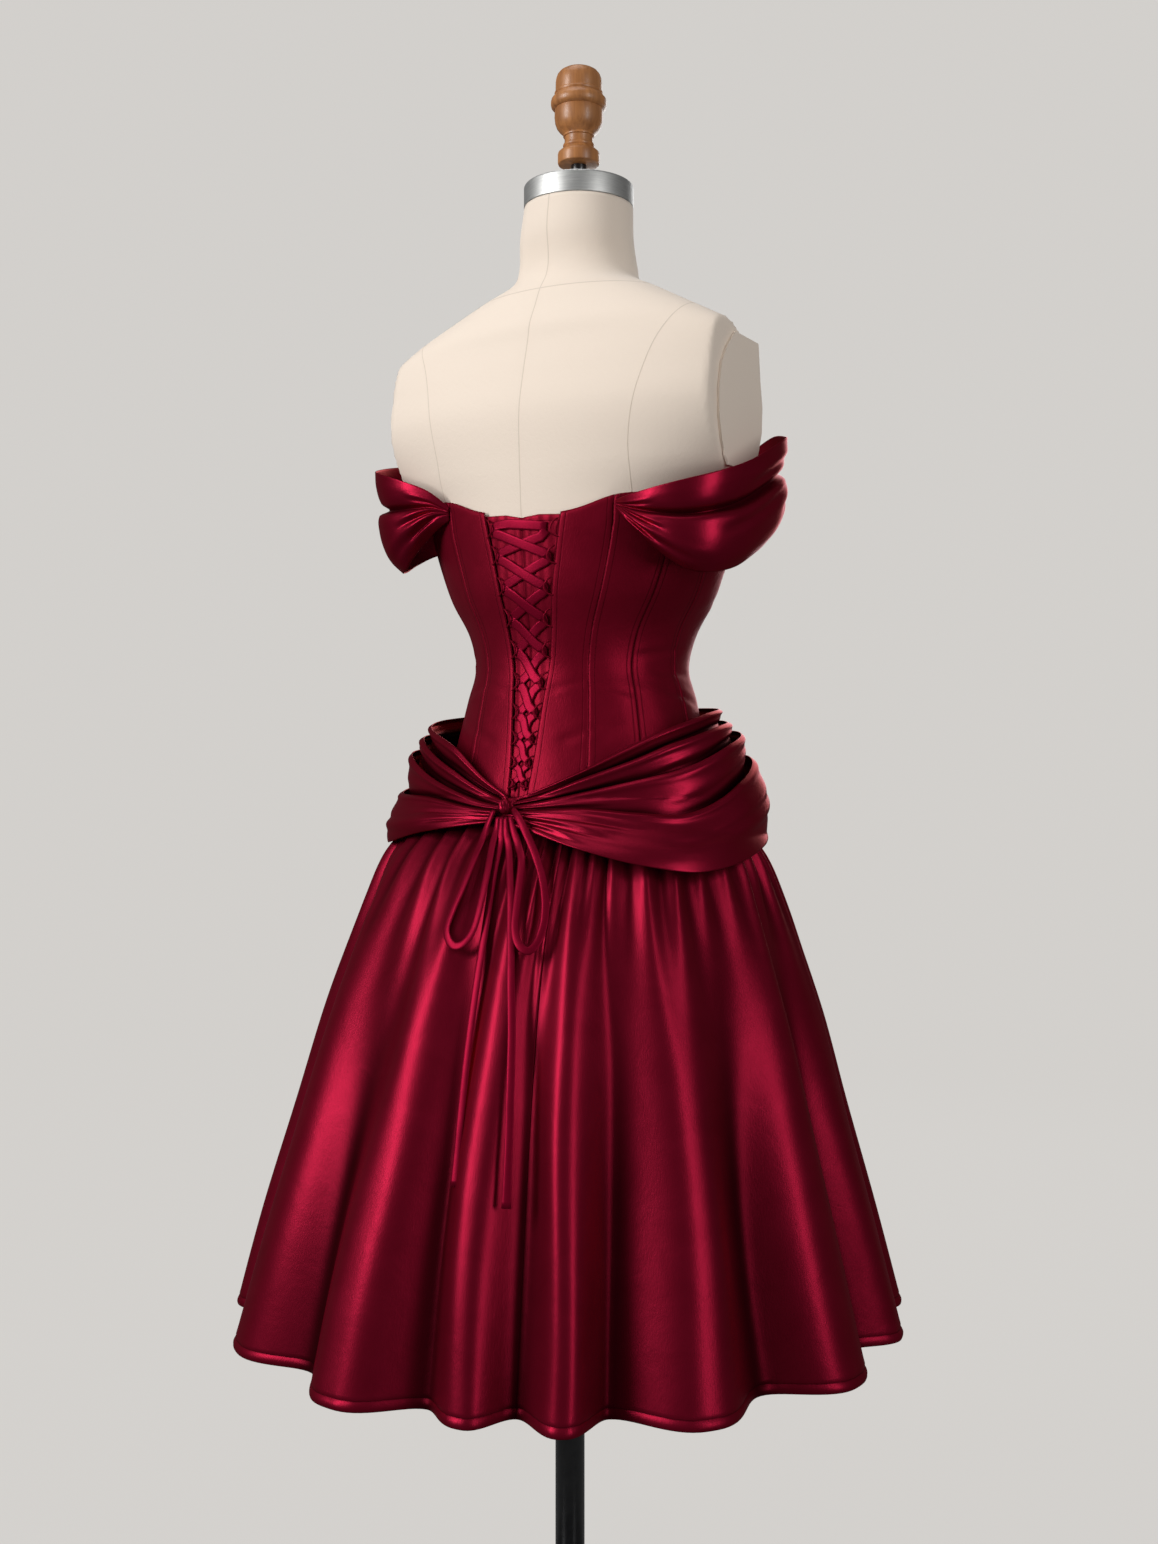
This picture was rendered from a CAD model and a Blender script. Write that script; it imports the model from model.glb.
"""A short satin prom dress on its limbless dress form and stand: the full look over the plain solids.

Sizes are in millimetres in the tables, as in the part's own source, and become metres where a mesh
is made. The origin is on the floor on the pole's axis. The wearer faces -Y, and the wearer's right
is -X. An angle round the body is 0 at the centre back and grows towards the wearer's right.
"""

import logging
import math
from collections.abc import Callable, Sequence
from dataclasses import dataclass, field
from enum import Enum

import bpy
import numpy as np
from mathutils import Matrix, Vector


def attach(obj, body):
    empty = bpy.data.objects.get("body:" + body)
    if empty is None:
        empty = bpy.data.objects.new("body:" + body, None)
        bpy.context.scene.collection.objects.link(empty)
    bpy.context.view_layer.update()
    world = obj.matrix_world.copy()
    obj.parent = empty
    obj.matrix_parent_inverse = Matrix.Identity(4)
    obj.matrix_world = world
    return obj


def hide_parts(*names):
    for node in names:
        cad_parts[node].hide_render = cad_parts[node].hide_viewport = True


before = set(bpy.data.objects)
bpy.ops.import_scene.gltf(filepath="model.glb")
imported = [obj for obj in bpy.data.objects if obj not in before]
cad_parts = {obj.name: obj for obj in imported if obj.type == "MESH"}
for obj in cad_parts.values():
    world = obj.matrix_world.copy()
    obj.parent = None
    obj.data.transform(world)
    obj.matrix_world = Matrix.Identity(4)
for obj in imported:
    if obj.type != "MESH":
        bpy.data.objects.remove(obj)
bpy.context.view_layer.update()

LOG = logging.getLogger("prom dress")
MM = 0.001
NO_SEAM = 99.0
TINY = 1e-9
RIM_ROUNDING = 0.45
TUBE_ROUND = 0.02
DARKEST = 0.06
Grid = np.ndarray
Colour = Place = tuple[float, float, float]
Profile = tuple[tuple[float, float], ...]
Creases = tuple[tuple[float, ...], ...]
Piece, Material = bpy.types.Object, bpy.types.Material
Tree, Socket = bpy.types.NodeTree, bpy.types.NodeSocket


@dataclass(frozen=True)
class Table:
    """Rows of numbers under named columns, read on a smooth curve from row to row."""

    columns: tuple[str, ...]
    rows: tuple[tuple[float, ...], ...]

    def column(self, name: str) -> Grid:
        """Gives one column's values."""
        return np.array([row[self.columns.index(name)] for row in self.rows], float)

    def read(self, name: str, places: Grid) -> Grid:
        """Reads a column between the rows.

        Args:
            name: The column to read.
            places: Where, as values of the first column.

        Returns:
            The column's value at each place.
        """
        keys, values = self.column(self.columns[0]), self.column(name)
        last = len(keys) - 1
        row = np.clip(np.searchsorted(keys, places, side="left") - 1, 0, last - 1)
        before, after = np.maximum(row - 1, 0), np.minimum(row + 2, last)
        span = keys[row + 1] - keys[row]
        t = np.clip((places - keys[row]) / span, 0, 1)
        slope_from = (values[row + 1] - values[before]) / (keys[row + 1] - keys[before]) * span
        slope_to = (values[after] - values[row]) / (keys[after] - keys[row]) * span
        rise = values[row + 1] - values[row]
        bend = slope_from + slope_to - 2 * rise
        return values[row] + t * (slope_from + t * (rise - slope_from + (t - 1) * bend))

    def depth(self, backward: Grid, z: Grid) -> Grid:
        """Reads how deep a body is behind or before its centre."""
        return np.where(backward, self.read("back", z), self.read("front", z))


NECK_CENTRE_Y = -18.0
NECK_TOP = 1514.7
ARMHOLE_X = 186.0
BODICE_BOTTOM = 905.0
WAIST_Z = 1036.0
SEAM_GAP = 0.3
SKIRT_TOP = 904.7
HEM_Z = 381.0

FIGURE = Table(
    ("z", "half", "back", "front", "centre"),
    (
        (804, 138, 106, 96, -18), (850, 149, 115, 106, -18), (880, 149, 117, 108, -18),
        (905, 143, 115.5, 106, -18), (950, 131, 108, 104, -21), (1004, 117, 102, 102, -24),
        (1036, 108, 97, 100, -24), (1070, 115, 101.5, 105, -25), (1107, 137, 109.5, 111, -25),
        (1141, 151, 112, 113, -24), (1170, 160, 113, 113, -22), (1200, 167, 112, 108, -19),
        (1235, 200, 104, 104, -9), (1285, 230, 94, 94, 2), (1325, 230, 84, 84, 4),
        (1356, 209, 66, 68, 14), (1375, 175, 56, 64, 20), (1395, 138, 50, 60, 16),
        (1415, 102, 52, 56, 4), (1432, 71, 56, 57, -12), (1450, 63, 57, 58, -17),
        (1480, 59.5, 57, 57.5, -14), (NECK_TOP, 56.5, 56.5, 56.5, NECK_CENTRE_Y),
    ),
)

BODICE_TOP = Table(
    ("angle", "z"),
    ((0, 1180), (15, 1184), (34, 1198), (60, 1197), (88, 1194), (120, 1208), (150, 1251), (165, 1246),
     (180, 1218)),
)
BACK_EDGE = Table(("z", "across"), ((905, 10), (950, 13), (1036, 20.5), (1110, 30), (1200, 46)))

SKIRT = Table(
    ("z", "half", "back", "front", "lobe", "gather"),
    (
        (381, 324, 329, 331, 27, 0), (489, 299, 300, 305, 23, 0), (592, 273.5, 267, 280, 18, 0),
        (680, 252, 236, 262, 13, 0), (750, 231, 208, 240, 9, 0.8), (805, 213, 181, 218, 6, 2.4),
        (845, 198, 156, 190, 4, 3.6), (872, 179, 132, 162, 2.5, 3.6),
        (890, 163, 116, 142, 1.5, 2.4), (904.7, 153, 107, 131, 0.3, 0.6),
    ),
)
LOBES = ((-21, 1.03), (6.5, 0.76), (22, 0.95), (37, 1.08), (64.5, 1.08), (93.5, 0.95), (112, 1.0),
         (131, 0.9), (149, 1.05), (169, 0.95), (190, 1.08), (212, 0.9), (233, 1.05), (256, 0.92),
         (272, 1.0), (288, 1.03), (307, 1.0))

SASH = Table(
    ("angle", "fold1", "fold2", "fold3", "fold4", "hem"),
    (
        (0, 903, 899.5, 896, 892, 882), (12, 915, 909, 902, 894, 874),
        (26, 931, 924, 911, 896, 860), (43, 952, 940, 922, 892, 845), (61, 971, 957, 933, 891, 838),
        (90, 988, 974, 957, 920, 856), (120, 995, 982, 971, 945, 874),
        (150, 998, 986, 975, 950, 880), (180, 999, 987, 976, 950, 880),
        (240, 993, 979, 965, 930, 872), (270, 986, 972, 956, 916, 862),
        (300, 975, 963, 946, 908, 857), (329, 956, 936, 920, 905, 870),
        (348, 922, 912, 903, 896, 878), (360, 903, 899.5, 896, 892, 882),
    ),
)

SLEEVE = Table(
    ("index", "x", "y", "top", "bottom", "full", "left_lift"),
    (
        (0, 97, 80, 1191, 1181, 0, 9), (1, 117, 86, 1193, 1161, 0.45, 23),
        (2, 145, 88, 1197, 1138, 0.8, 31), (3, 172, 81, 1203, 1122, 1, 35),
        (4, 195, 61, 1212, 1119, 1, 35), (5, 209, 30, 1225, 1126, 1, 31),
        (6, 216, -4, 1242, 1142, 1, 22), (7, 216, -37, 1257, 1158, 0.95, 13),
        (8, 205, -67, 1266, 1172, 0.9, 6), (9, 183, -89, 1272, 1184, 0.8, 3),
        (10, 155, -105, 1263, 1194, 0.6, 0), (11, 126, -114, 1248, 1203, 0.4, 0),
        (12, 104, -116, 1236, 1216, 0, 0),
    ),
)
SLEEVE_PROFILE = Table(
    ("down", "out"),
    ((0, 7), (0.16, 6), (0.32, 1), (0.38, -7), (0.43, 4), (0.6, 6), (0.78, 3), (0.9, -2.5), (1, -12)),
)


def bust_rise(turn: Grid, z: Grid) -> Grid:
    """Gives how far the cups stand out, for angles and heights."""
    folded = np.abs(np.mod(turn + 180, 360) - 180)
    side = (folded - 152) / 22
    level = (z - 1196) / 42
    return 10 * np.exp(-side * side - level * level)


def figure_point(angle: Grid, z: Grid, out: Grid | float) -> Grid:
    """Finds points of the form, moved out from its surface.

    Args:
        angle: Angles round the body, in degrees.
        z: Heights, in millimetres.
        out: How far outside the form's surface, in millimetres.

    Returns:
        The points, with x, y and z along the last axis.
    """
    turn = np.radians(np.mod(angle, 360))
    depth = FIGURE.depth(np.cos(turn) > 0, z) + bust_rise(np.mod(angle, 360), z) + out
    half = FIGURE.read("half", z) + out
    reach = ARMHOLE_X + np.minimum(out, 0)
    x = np.clip(-half * np.sin(turn), -reach, reach)
    y = FIGURE.read("centre", z) + depth * np.cos(turn)
    return np.stack([x, y, z + 0 * x], -1)


def back_point(across: Grid, z: Grid, out: Grid | float) -> Grid:
    """Finds points of the back from their distance across from the centre line."""
    half = FIGURE.read("half", z) + out
    return figure_point(np.degrees(np.arcsin(-across / half)), z, out)


@dataclass(frozen=True)
class Crease:
    """One pressed line of a cloth, in the cloth's own two coordinates, in millimetres."""

    start_u: float
    start_v: float
    end_u: float
    end_v: float
    depth: float
    width: float

    def press(self, u: Grid, v: Grid) -> Grid:
        """Gives how far the crease moves the cloth: down in its line, up along one lip.

        Args:
            u: First coordinate of each point of the cloth.
            v: Second coordinate of each point of the cloth.

        Returns:
            The movement of each point along the cloth's normal.
        """
        run_u, run_v = self.end_u - self.start_u, self.end_v - self.start_v
        length = math.hypot(run_u, run_v)
        off_u, off_v = u - self.start_u, v - self.start_v
        t = (off_u * run_u + off_v * run_v) / length**2
        side = (off_u * run_v - off_v * run_u) / length / self.width
        fade = np.clip(t * 5 + 1, 0, 1) * np.clip((1.15 - t) * 1.6, 0, 1)
        fade = fade * fade * (3 - 2 * fade)
        groove = -np.exp(-side * side)
        lip = 0.62 * np.exp(-((side - 1.7) ** 2) / 1.4) + 0.3 * np.exp(-((side + 1.9) ** 2) / 1.8)
        return self.depth * fade * (groove + lip)


def pressed(rows: Creases, u: Grid, v: Grid) -> Grid:
    """Adds up what rows of creases do to a cloth."""
    return sum((Crease(*row).press(u, v) for row in rows), np.zeros_like(u))


def bell(places: Grid, centre: float, width: float) -> Grid:
    """Gives 1 at a centre and less on both sides of it, down to 0."""
    return np.exp(-(((places - centre) / width) ** 2))


def unit(vectors: Grid) -> Grid:
    """Gives the vectors along the last axis with a length of 1."""
    return vectors / np.maximum(np.linalg.norm(vectors, axis=-1, keepdims=True), TINY)


def travelled(path: Grid) -> Grid:
    """Gives how far each point of a path is from its start, along it."""
    return np.concatenate([[0], np.cumsum(np.linalg.norm(np.diff(path, axis=0), axis=1))])


def lattice(first: Grid, second: Grid) -> tuple[Grid, Grid]:
    """Gives the two coordinates of every point of a grid."""
    return tuple(np.meshgrid(first, second, indexing="ij"))


def from_back(angle: Grid) -> Grid:
    """Gives how far angles are from the centre back, on either side."""
    return np.minimum(angle, 360 - angle)


def link_mesh(name: str, points: Grid, faces: Sequence[Sequence[int]], cloth: Grid | None = None,
              marks: dict[str, Grid] | None = None, flat_ends: int = 0) -> Piece:
    """Makes a smooth mesh object with its own UV map and attributes.

    Args:
        name: The new object's name.
        points: Its points, in millimetres.
        faces: The corners of each face.
        cloth: Each point's place on the flat cloth, in metres.
        marks: Each point's values, by the attribute's name.
        flat_ends: How many of the last faces stay flat.

    Returns:
        The new object, at the origin.
    """
    mesh = bpy.data.meshes.new(name)
    mesh.from_pydata((points * MM).tolist(), [], faces)
    smooth = [True] * (len(faces) - flat_ends) + [False] * flat_ends
    mesh.polygons.foreach_set("use_smooth", smooth)
    if cloth is not None:
        corners = np.zeros(len(mesh.loops), int)
        mesh.loops.foreach_get("vertex_index", corners)
        mesh.uv_layers.new(name="cloth").data.foreach_set("uv", cloth[corners].ravel())
    for mark, values in (marks or {}).items():
        kind, key = ("FLOAT_VECTOR", "vector") if values.ndim == 2 else ("FLOAT", "value")
        mesh.attributes.new(mark, kind, "POINT").data.foreach_set(key, values.ravel())
    mesh.update()
    piece = bpy.data.objects.new(name, mesh)
    bpy.context.scene.collection.objects.link(piece)
    return piece


@dataclass
class Cloth:
    """A thin shell over a grid of points, with rounded edges, its own UV map and attributes."""

    name: str
    grid: Grid
    wall: float
    wrap: bool = False
    marks: dict[str, Grid] = field(default_factory=dict)

    def normals(self) -> Grid:
        """Gives the grid's unit normals, pointing away from the body."""
        if self.wrap:
            along = np.roll(self.grid, -1, 0) - np.roll(self.grid, 1, 0)
        else:
            along = np.gradient(self.grid, axis=0)
        normal = unit(np.cross(along, np.gradient(self.grid, axis=1)))
        middle = self.grid.reshape(-1, 3).mean(0) * [0, 0, 1]
        faces_out = float((normal * (self.grid - middle)).sum()) > 0
        return normal if faces_out else -normal

    def lengths(self) -> Grid:
        """Gives each point's place on the flat cloth, in metres."""
        across = np.linalg.norm(np.diff(self.grid, axis=0), axis=2).mean(1)
        down = np.linalg.norm(np.diff(self.grid, axis=1), axis=2).mean(0)
        u, v = (np.concatenate([[0], np.cumsum(steps)]) for steps in (across, down))
        return np.stack(lattice(u, v), -1).reshape(-1, 2) * MM

    def rims(self) -> list[list[tuple[int, int]]]:
        """Lists the grid places round each open edge, in order."""
        columns, rows = self.grid.shape[:2]
        if self.wrap:
            return [[(c, 0) for c in range(columns)], [(c, rows - 1) for c in reversed(range(columns))]]
        bottom = [(c, 0) for c in range(columns)]
        right = [(columns - 1, r) for r in range(1, rows)]
        top = [(c, rows - 1) for c in reversed(range(columns - 1))]
        left = [(0, r) for r in reversed(range(1, rows - 1))]
        return [bottom + right + top + left]

    def build(self) -> Piece:
        """Makes the mesh object.

        Returns:
            The new object, at the origin, shaded smooth.
        """
        columns, rows = self.grid.shape[:2]
        total = 2 * columns * rows
        normals = self.normals()
        inner = self.grid - normals * self.wall
        places = [self.grid.reshape(-1, 3), inner.reshape(-1, 3)]
        index = np.arange(total // 2).reshape(columns, rows)
        ahead = np.roll(index, -1, 0) if self.wrap else index[1:]
        here = index if self.wrap else index[:-1]
        quads = np.stack([here[:, :-1], ahead[:, :-1], ahead[:, 1:], here[:, 1:]], -1).reshape(-1, 4)
        faces = [quads, quads[:, ::-1] + total // 2]
        source = [index.ravel(), index.ravel()]
        back = total // 2
        for rim in self.rims():
            c, r = np.array(rim).T
            step_c = np.where(c == 0, 1, np.where(c == columns - 1, -1, 0)) * (not self.wrap)
            step_r = np.where(r == 0, 1, np.where(r == rows - 1, -1, 0))
            outward = unit(self.grid[c, r] - self.grid[c + step_c, r + step_r])
            places.append((self.grid[c, r] + inner[c, r]) / 2 + outward * self.wall * RIM_ROUNDING)
            edge, middle = index[c, r], total + np.arange(len(rim))
            next_edge, next_middle = np.roll(edge, -1), np.roll(middle, -1)
            faces.append(np.stack([next_edge, edge, middle, next_middle], -1))
            faces.append(np.stack([next_middle, middle, edge + back, next_edge + back], -1))
            source.append(edge)
            total += len(rim)
        points, polygons, origin = (np.concatenate(parts) for parts in (places, faces, source))
        a, b, c, _ = points[polygons[0]]
        if float(np.cross(b - a, c - a) @ normals[0, 0]) < 0:
            polygons = polygons[:, ::-1]
        marks = {"stitching": np.full(self.grid.shape, NO_SEAM),
                 "fold_shade": np.ones(self.grid.shape[:2]), **self.marks}
        flat = {name: values.reshape(-1, *values.shape[2:])[origin] for name, values in marks.items()}
        return link_mesh(self.name, points, polygons.tolist(), self.lengths()[origin], flat)


def area_of(piece: Piece) -> float:
    """Gives the area of one side of a shell, in square metres."""
    return sum(polygon.area for polygon in piece.data.polygons) / 2


def smooth_path(points: Sequence[Sequence[float]], steps: int) -> Grid:
    """Runs a smooth curve through a list of points.

    Args:
        points: The places that the curve goes through.
        steps: How many parts each stretch between two places gets.

    Returns:
        The points of the curve.
    """
    given = np.array(points, float)
    padded = np.vstack([2 * given[0] - given[1], given, 2 * given[-1] - given[-2]])
    rows = []
    for index in range(len(given) - 1):
        a, b, c, d = padded[index : index + 4]
        for t in np.arange(steps) / steps:
            rows.append(0.5 * (2 * b + (c - a) * t + (2 * a - 5 * b + 4 * c - d) * t**2
                               + (3 * b - a - 3 * c + d) * t**3))
    return np.array(rows + [given[-1]])


def tube(name: str, centres: Grid, side: Grid, width: Grid, height: Grid, sides: int) -> Piece:
    """Makes a closed tube with an oval section along a path.

    Args:
        name: The new object's name.
        centres: The middle of each ring, in millimetres.
        side: The direction of the section's width at each ring.
        width: Half the section's width at each ring.
        height: Half the section's height at each ring.
        sides: How many corners a ring has.

    Returns:
        The new object.
    """
    run = unit(np.gradient(centres, axis=0))
    side = unit(side - run * (side * run).sum(1, keepdims=True))
    up = np.cross(run, side)
    turn = np.arange(sides) * 2 * math.pi / sides
    ring = (side[:, None] * (np.cos(turn)[None, :] * width[:, None])[..., None]
            + up[:, None] * (np.sin(turn)[None, :] * height[:, None])[..., None])
    points = (centres[:, None] + ring).reshape(-1, 3)
    index = np.arange(len(points)).reshape(len(centres), sides)
    nxt = np.roll(index, -1, 1)
    quads = np.stack([index[:-1], nxt[:-1], nxt[1:], index[1:]], -1).reshape(-1, 4).tolist()
    faces = quads + [index[0][::-1].tolist(), index[-1].tolist()]
    round_it = np.arange(sides) / sides * TUBE_ROUND
    cloth = np.stack(lattice(travelled(centres) * MM, round_it), -1).reshape(-1, 2)
    marks = {"stitching": np.full(points.shape, NO_SEAM)}
    return link_mesh(name, points, faces, cloth, marks, flat_ends=2)


class Slot(Enum):
    """The finishes named in the record."""

    DRESS = "dress_satin"
    SKIRT = "skirt_satin"
    RIBBON = "lacing_ribbon"
    COVER = "form_cover"
    STEEL = "neck_steel"
    WOOD = "finial_wood"
    ENAMEL = "stand_enamel"


def rgba(colour: Colour, share: float = 1.0) -> tuple[float, ...]:
    """Gives an opaque colour, darkened to a share of itself."""
    return (*(part * share for part in colour), 1)


class NodeSheet:
    """Adds and joins the nodes of one material or group."""

    def __init__(self, tree: Tree) -> None:
        """Keeps the tree that nodes are added to."""
        self.tree = tree

    def fill(self, socket: Socket, value: object) -> None:
        """Joins an input to another node's output, or sets the input's value."""
        if isinstance(value, Socket):
            self.tree.links.new(value, socket)
        else:
            socket.default_value = value

    def add(self, kind: str, *sockets: object, **values: object) -> bpy.types.Node:
        """Adds a node, sets its properties and fills its inputs.

        Args:
            kind: The node's type name, after ShaderNode.
            *sockets: Outputs or values for its first inputs.
            **values: Properties by name, and inputs by name with underscores for spaces.

        Returns:
            The new node.
        """
        node = self.tree.nodes.new("ShaderNode" + kind)
        for name, value in values.items():
            if hasattr(node, name):
                setattr(node, name, value)
            else:
                self.fill(node.inputs[name.replace("_", " ")], value)
        for socket, value in zip(node.inputs, sockets):
            self.fill(socket, value)
        return node

    def sum(self, operation: str, first: object, second: object = 0.0) -> Socket:
        """Adds a Math node for two outputs or numbers, and gives its output."""
        return self.add("Math", first, second, operation=operation).outputs[0]

    def blend(self, share: object, first: object, second: object) -> Socket:
        """Adds a Mix node for two outputs or colours, and gives its output."""
        node = self.add("Mix", share, data_type="RGBA")
        self.fill(node.inputs[6], first)
        self.fill(node.inputs[7], second)
        return node.outputs[2]

    def cover(self, **values: object) -> None:
        """Adds the material's main shader and its output."""
        self.add("OutputMaterial", Surface=self.add("BsdfPrincipled", **values).outputs[0])


def open_material(name: str) -> tuple[Material, NodeSheet]:
    """Makes a material without nodes and gives it with its sheet."""
    material = bpy.data.materials.new(name)
    material.use_nodes = True
    material.node_tree.nodes.clear()
    return material, NodeSheet(material.node_tree)


def open_group(name: str, takes: dict[str, float | None],
               gives: Sequence[str]) -> tuple[NodeSheet, object, object]:
    """Makes a shader group without nodes between its ends.

    Args:
        name: The group's name.
        takes: Its inputs, each with its usual number, or None for a vector.
        gives: Its outputs.

    Returns:
        Its sheet, what comes in and what goes out.
    """
    group = bpy.data.node_groups.new(name, "ShaderNodeTree")
    for label, value in takes.items():
        kind = "NodeSocketVector" if value is None else "NodeSocketFloat"
        socket = group.interface.new_socket(label, in_out="INPUT", socket_type=kind)
        if value is not None:
            socket.default_value = value
    for label in gives:
        group.interface.new_socket(label, in_out="OUTPUT", socket_type="NodeSocketFloat")
    start, end = (group.nodes.new("NodeGroup" + kind) for kind in ("Input", "Output"))
    return NodeSheet(group), start.outputs, end.inputs


def cloth_group() -> Tree:
    """Builds the shader group that gives any cloth its threads and its small unevenness.

    Returns:
        The group, which puts out a height for bump and a tone for colour.
    """
    sheet, takes, gives = open_group("cloth surface", {"Thread Scale": 900.0, "Thread Depth": 0.3,
                                                       "Crinkle Scale": 22.0, "Crinkle Depth": 0.5},
                                     ("Height", "Tone"))
    given = sheet.add("TexCoord").outputs
    stretch = sheet.add("Mapping", given["UV"], Scale=(1.0, 0.22, 1.0)).outputs[0]
    threads = sheet.add("TexNoise", Vector=stretch, Scale=takes["Thread Scale"], Detail=2.0,
                        Roughness=0.6)
    crinkle = sheet.add("TexNoise", Vector=given["Object"], Scale=takes["Crinkle Scale"], Detail=4.0,
                        Roughness=0.62, Distortion=0.6)
    fine = sheet.sum("MULTIPLY", threads.outputs[0], takes["Thread Depth"])
    broad = sheet.sum("MULTIPLY", crinkle.outputs[0], takes["Crinkle Depth"])
    sheet.fill(gives["Height"], sheet.sum("ADD", fine, broad))
    sheet.fill(gives["Tone"], crinkle.outputs[0])
    return sheet.tree


def line_group() -> Tree:
    """Builds the shader group that turns signed distances from seams into a thin line.

    Returns:
        The group, which takes three distances in millimetres as a vector, and a half width, and
        puts out a mask that is 1 on a seam.
    """
    sheet, takes, gives = open_group("seam lines", {"Distances": None, "Half Width": 0.8}, ("Mask",))
    parts = sheet.add("SeparateXYZ", takes["Distances"]).outputs
    near = [sheet.sum("ABSOLUTE", part) for part in parts]
    least = sheet.sum("MINIMUM", sheet.sum("MINIMUM", near[0], near[1]), near[2])
    mask = sheet.sum("SUBTRACT", 1.0, sheet.sum("DIVIDE", least, takes["Half Width"]))
    sheet.fill(gives["Mask"], sheet.sum("MAXIMUM", mask, 0.0))
    return sheet.tree


@dataclass(frozen=True)
class SatinFinish:
    """Woven satin: a coloured sheen over a deep ground, with fine threads."""

    name: str
    colour: Colour
    deep: Colour
    roughness: float
    metallic: float
    thread: float
    crinkle: float
    crinkle_scale: float
    has_folds: bool = False

    def build(self, surface: Tree, lines: Tree) -> Material:
        """Makes the material.

        Args:
            surface: The cloth surface group.
            lines: The seam line group.

        Returns:
            The new material.
        """
        material, sheet = open_material(self.name)
        group = sheet.add("Group", node_tree=surface, Thread_Depth=self.thread,
                          Crinkle_Depth=self.crinkle, Crinkle_Scale=self.crinkle_scale).outputs
        marks = sheet.add("Attribute", attribute_name="stitching").outputs["Vector"]
        mask = sheet.add("Group", node_tree=lines, Distances=marks).outputs["Mask"]
        tone = sheet.blend(group["Tone"], rgba(self.deep), rgba(self.colour))
        colour = sheet.blend(sheet.sum("MULTIPLY", mask, 0.7), tone, rgba(self.deep, 0.25))
        if self.has_folds:
            openness = sheet.add("Attribute", attribute_name="fold_shade").outputs["Fac"]
            colour = sheet.blend(openness, rgba(self.deep, 0.1), colour)
        sunk = sheet.sum("SUBTRACT", group["Height"], sheet.sum("MULTIPLY", mask, 0.35))
        bump = sheet.add("Bump", Strength=0.35, Distance=0.0012, Height=sunk).outputs[0]
        sheet.cover(Base_Color=colour, Roughness=self.roughness, Metallic=self.metallic, Normal=bump,
                    Specular_IOR_Level=0.18, Specular_Tint=(0.70, 0.07, 0.12, 1.0))
        return material


@dataclass(frozen=True)
class CoverFinish:
    """The form's matte jersey, with fine sewn seams."""

    colour: Colour = (0.91, 0.78, 0.66)
    seam: Colour = (0.50, 0.40, 0.30)
    roughness: float = 0.92
    has_seams: bool = True

    def build(self, surface: Tree, lines: Tree) -> Material:
        """Makes the material.

        Args:
            surface: The cloth surface group.
            lines: The seam line group.

        Returns:
            The new material.
        """
        material, sheet = open_material("cream jersey")
        group = sheet.add("Group", node_tree=surface, Thread_Depth=0.35, Crinkle_Depth=1.0,
                          Crinkle_Scale=210.0)
        marks: object = (NO_SEAM, NO_SEAM, NO_SEAM)
        if self.has_seams:
            marks = sheet.add("Attribute", attribute_name="stitching").outputs["Vector"]
        mask = sheet.add("Group", node_tree=lines, Half_Width=0.9, Distances=marks).outputs["Mask"]
        colour = sheet.blend(sheet.sum("MULTIPLY", mask, 0.5), rgba(self.colour), rgba(self.seam))
        sunk = sheet.sum("SUBTRACT", group.outputs["Height"], mask)
        bump = sheet.add("Bump", Strength=0.3, Distance=0.001, Height=sunk).outputs[0]
        sheet.cover(Base_Color=colour, Roughness=self.roughness, Normal=bump, Sheen_Weight=0.25,
                    Specular_IOR_Level=0.25)
        return material


@dataclass(frozen=True)
class HardFinish:
    """A metal, enamel or wood, with a pattern stretched along one direction."""

    name: str
    light: Colour
    dark: Colour
    roughness: float
    metallic: float
    coat: float
    stretch: Place
    scale: float
    bump: float

    def build(self) -> Material:
        """Makes the material."""
        material, sheet = open_material(self.name)
        place = sheet.add("Mapping", sheet.add("TexCoord").outputs["Object"], Scale=self.stretch)
        grain = sheet.add("TexNoise", Vector=place.outputs[0], Scale=self.scale, Detail=5.0,
                          Roughness=0.6, Distortion=0.4).outputs[0]
        ramp = sheet.add("ValToRGB", grain)
        ends = ramp.color_ramp.elements
        for end, position, colour in zip(ends, (0.34, 0.66), (self.dark, self.light)):
            end.position, end.color = position, rgba(colour)
        bump = sheet.add("Bump", Strength=self.bump, Distance=0.0004, Height=grain)
        sheet.cover(Base_Color=ramp.outputs[0], Metallic=self.metallic, Coat_Weight=self.coat,
                    Coat_Roughness=0.25, Roughness=self.roughness, Normal=bump.outputs[0])
        return material


# Name, colour, deep colour, roughness, metallic, thread, crinkle, crinkle scale, whether it has folds
BRIGHT = (0.235, 0.0065, 0.0245)
SATINS = {
    Slot.DRESS: ("dress satin", (0.215, 0.005, 0.02), (0.15, 0.003, 0.0125), 0.42, 0.5, 0.35, 1.0, 34.0),
    Slot.SKIRT: ("skirt satin", BRIGHT, (0.155, 0.0035, 0.0145), 0.4, 0.68, 0.25, 0.9, 26.0, True),
    Slot.RIBBON: ("ribbon satin", (0.2, 0.003, 0.02), (0.15, 0.002, 0.014), 0.38, 0.5, 0.2, 0.1, 60.0),
}
DRAPED = ("draped satin", BRIGHT, (0.165, 0.004, 0.016), 0.33, 0.7, 0.2, 0.5, 18.0, True)
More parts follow.
